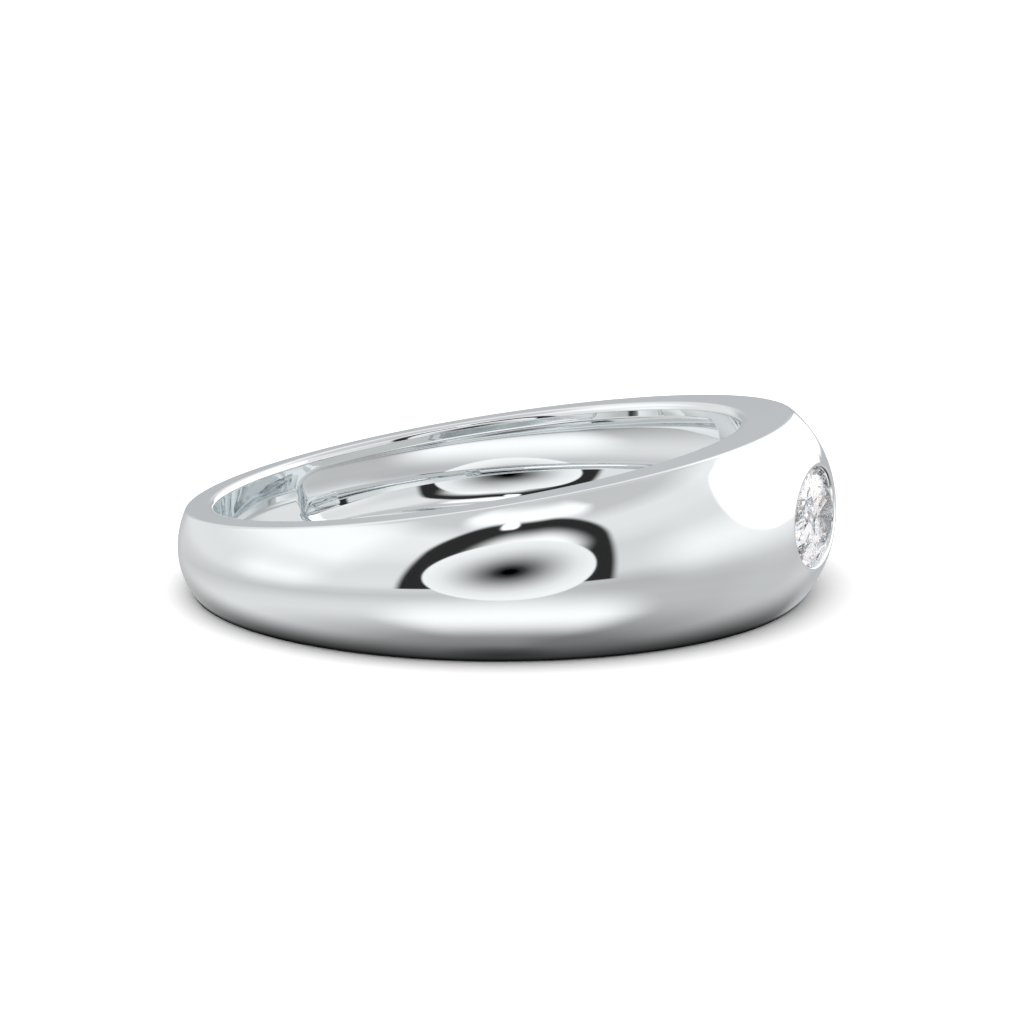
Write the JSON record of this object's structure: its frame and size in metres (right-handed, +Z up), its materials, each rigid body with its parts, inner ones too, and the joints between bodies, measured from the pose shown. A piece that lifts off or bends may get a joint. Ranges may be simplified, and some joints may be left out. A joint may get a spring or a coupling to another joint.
{
  "type": "flush set gypsy ring",
  "caption": "Finger ring: a domed, tapered polished metal band, hollowed inside at each side, with one oval faceted stone sunk crosswise into its head.",
  "frame": {"origin": "middle of the finger hole, on its axis, halfway across the band", "axes": "+Z up, with the ring lying on its lower side face; +X from the middle of the hole towards the stone; the hole's axis leans 4.8 degrees from +Z towards -X, because the band tapers; the floor is at z = -2.034 mm"},
  "size_m": [0.021, 0.0212, 0.0057],
  "materials": {
    "band": "polished",
    "stone": "polished"
  },
  "bodies": {
    "root": {"band": "band", "stone": "stone"}
  },
  "joints": []
}
